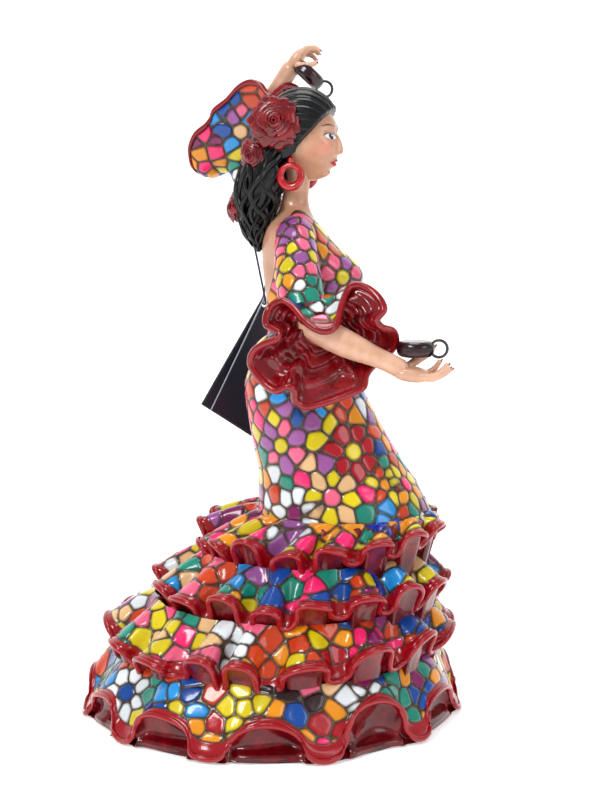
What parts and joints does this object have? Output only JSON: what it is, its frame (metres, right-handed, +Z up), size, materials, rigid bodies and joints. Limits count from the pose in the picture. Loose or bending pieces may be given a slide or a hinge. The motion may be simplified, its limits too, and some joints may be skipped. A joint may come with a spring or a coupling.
{
  "type": "souvenir figurine",
  "caption": "Standing flamenco dancer figurine with a flared tiered skirt, ruffled sleeves, one arm raised, castanets, and a folded swing tag on a string loop.",
  "frame": {"origin": "on the underside of the felt pad, under the middle of the dancer's stance", "axes": "+X the way the dancer faces, +Y her left side, +Z up"},
  "size_m": [0.169, 0.1704, 0.2845],
  "materials": {
    "felt": "pressed felt",
    "painted_mosaic": "cast resin, hand painted mosaic under gloss lacquer",
    "painted_skin": "cast resin, painted, satin lacquer",
    "painted_hair": "cast resin, painted black, gloss lacquer",
    "painted_crimson": "cast resin, painted crimson, gloss lacquer",
    "painted_castanet": "cast resin, painted dark aubergine, gloss lacquer",
    "painted_cord": "cast resin, painted black",
    "card": "coated navy card with a silver edge line",
    "string": "twisted waxed cotton string"
  },
  "bodies": {
    "root": {"felt_pad": "felt", "skirt_core": "painted_mosaic", "hem_flounce": "painted_mosaic", "third_flounce": "painted_mosaic", "second_flounce": "painted_mosaic", "first_flounce": "painted_mosaic", "bodice": "painted_mosaic", "shoulders": "painted_skin", "head": "painted_skin", "hair": "painted_hair", "rose_large": "painted_crimson", "rose_medium": "painted_crimson", "rose_small": "painted_crimson", "earring_right": "painted_crimson", "earring_left": "painted_crimson", "right_sleeve": "painted_mosaic", "right_sleeve_flounce": "painted_mosaic", "right_arm": "painted_skin", "left_sleeve": "painted_mosaic", "left_sleeve_flounce": "painted_mosaic", "left_arm": "painted_skin", "right_castanet_upper": "painted_castanet", "right_castanet_lower": "painted_castanet", "right_castanet_cord": "painted_cord", "left_castanet_upper": "painted_castanet", "left_castanet_lower": "painted_castanet", "left_castanet_cord": "painted_cord"},
    "string_loop": {"tag_string": "string"},
    "swing_tag": {"tag_card": "card"}
  },
  "joints": [
    {"name": "string_swing", "type": "hinge", "parent": "root", "child": "string_loop", "pos_m": [-0.016, 0.034, 0.2195], "axis": [-0.4695, 0.8829, 0], "range_deg": [-25, 25]},
    {"name": "tag_turn", "type": "hinge", "parent": "string_loop", "child": "swing_tag", "pos_m": [-0.016, 0.034, 0.172], "axis": [-0.4695, 0.8829, 0], "range_deg": [-30, 30]}
  ]
}
